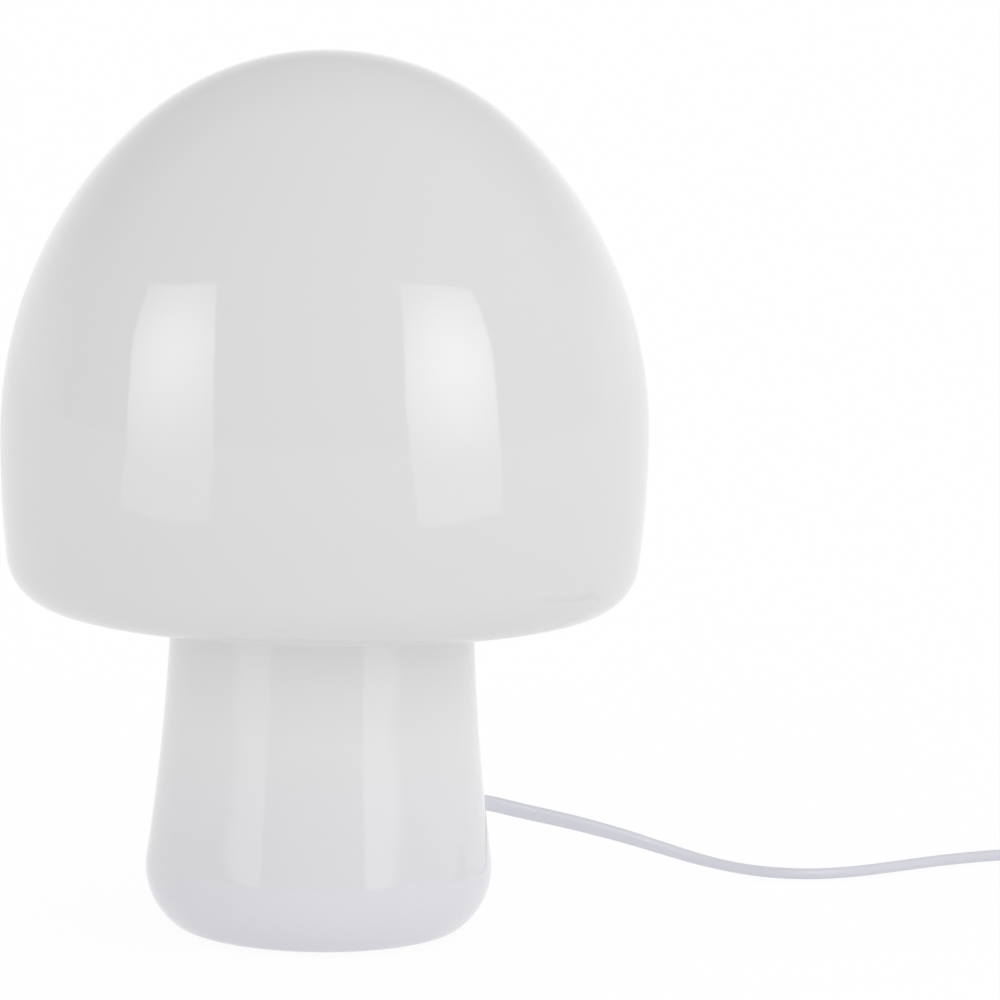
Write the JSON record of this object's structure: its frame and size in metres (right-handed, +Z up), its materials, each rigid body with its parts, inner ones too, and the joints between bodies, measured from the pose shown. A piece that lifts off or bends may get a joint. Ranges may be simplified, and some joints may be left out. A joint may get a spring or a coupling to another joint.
{
  "type": "table lamp",
  "caption": "Mushroom-shaped table lamp blown from opal white glass, with a flat white cord, in-line rocker switch and flat two-pin plug.",
  "frame": {"origin": "on the table, under the axis of the lamp", "axes": "+Z up along the lamp's axis, +Y to the back; the cord leaves the foot 30 degrees to the right of straight back"},
  "size_m": [0.4671, 0.2253, 0.28],
  "materials": {
    "opal_glass": "glossy opal white blown glass",
    "grommet_rubber": "soft white thermoplastic rubber",
    "foot_foam": "white closed-cell foam",
    "white_plastic": "moulded white plastic, fine satin",
    "spring_steel": "rolled spring steel",
    "zinc_steel": "zinc-plated steel",
    "holder_plastic": "moulded white heat-proof plastic",
    "core_plastic": "moulded insulating plastic",
    "brass": "stamped brass",
    "cord_pvc": "extruded white PVC, satin",
    "live_insulation": "brown PVC insulation",
    "neutral_insulation": "blue PVC insulation",
    "bulb_solder": "solder",
    "bulb_black_glass": "black glass",
    "bulb_cap_metal": "nickel-plated thin sheet",
    "bulb_collar_plastic": "moulded white plastic",
    "bulb_glass": "clear blown glass",
    "bulb_glass_stem": "pressed clear glass",
    "phosphor": "yellow phosphor coat",
    "rocker_plastic": "moulded white plastic, glossy",
    "tie_plastic": "white plastic wire tie",
    "nickel_brass": "nickel-plated brass"
  },
  "bodies": {
    "lamp_base": {"base_plug": "white_plastic", "centre_contact": "brass", "contact_bridge": "brass", "cord_coil": "cord_pvc", "cord_grip": "holder_plastic", "cord_tie": "tie_plastic", "cord_to_coil": "cord_pvc", "cord_to_plug": "cord_pvc", "cord_to_switch": "cord_pvc", "foot_ring": "foot_foam", "grip_screw": "zinc_steel", "holder_cap": "holder_plastic", "holder_core": "core_plastic", "holder_shell": "holder_plastic", "inner_lead": "cord_pvc", "live_wire": "live_insulation", "lock_nut": "zinc_steel", "neutral_wire": "neutral_insulation", "plug_body": "white_plastic", "plug_pins": "nickel_brass", "retaining_clips": "spring_steel", "rocker_axle": "zinc_steel", "screw_shell": "brass", "switch_base": "white_plastic", "switch_cover": "white_plastic", "switch_screws": "zinc_steel", "switch_terminals": "brass", "switch_wires": "neutral_insulation", "terminal_screws": "brass", "threaded_tube": "zinc_steel", "tube_nut": "zinc_steel", "tube_washer": "zinc_steel"},
    "glass": {"glass_body": "opal_glass", "cord_grommet": "grommet_rubber"},
    "bulb_tip": {"bulb_tip_contact": "bulb_solder"},
    "bulb": {"bulb_insulator": "bulb_black_glass", "bulb_screw_cap": "bulb_cap_metal", "bulb_collar": "bulb_collar_plastic", "bulb_globe": "bulb_glass", "bulb_stem": "bulb_glass_stem", "bulb_filaments": "phosphor"},
    "rocker": {"switch_rocker": "rocker_plastic"}
  },
  "joints": [
    {"name": "glass_lift", "type": "slide", "parent": "lamp_base", "child": "glass", "axis": [0, 0, 1], "range_m": [0, 0.15], "deforming": ["inner_lead"]},
    {"name": "bulb_rise", "type": "slide", "parent": "lamp_base", "child": "bulb_tip", "axis": [0, 0, 1], "range_m": [0, 0.0142]},
    {"name": "bulb_turn", "type": "hinge", "parent": "bulb_tip", "child": "bulb", "pos_m": [0, 0, 0.045], "axis": [0, 0, 1], "range_deg": [0, 1800]},
    {"name": "switch_rock", "type": "hinge", "parent": "lamp_base", "child": "rocker", "pos_m": [0.2826, 0.045, 0.0155], "axis": [-1, 0, 0], "range_deg": [0, 24]}
  ],
  "couplings": [
    {"joint": "bulb_rise", "follows": "bulb_turn", "m_per_rad": 0.00044913}
  ]
}
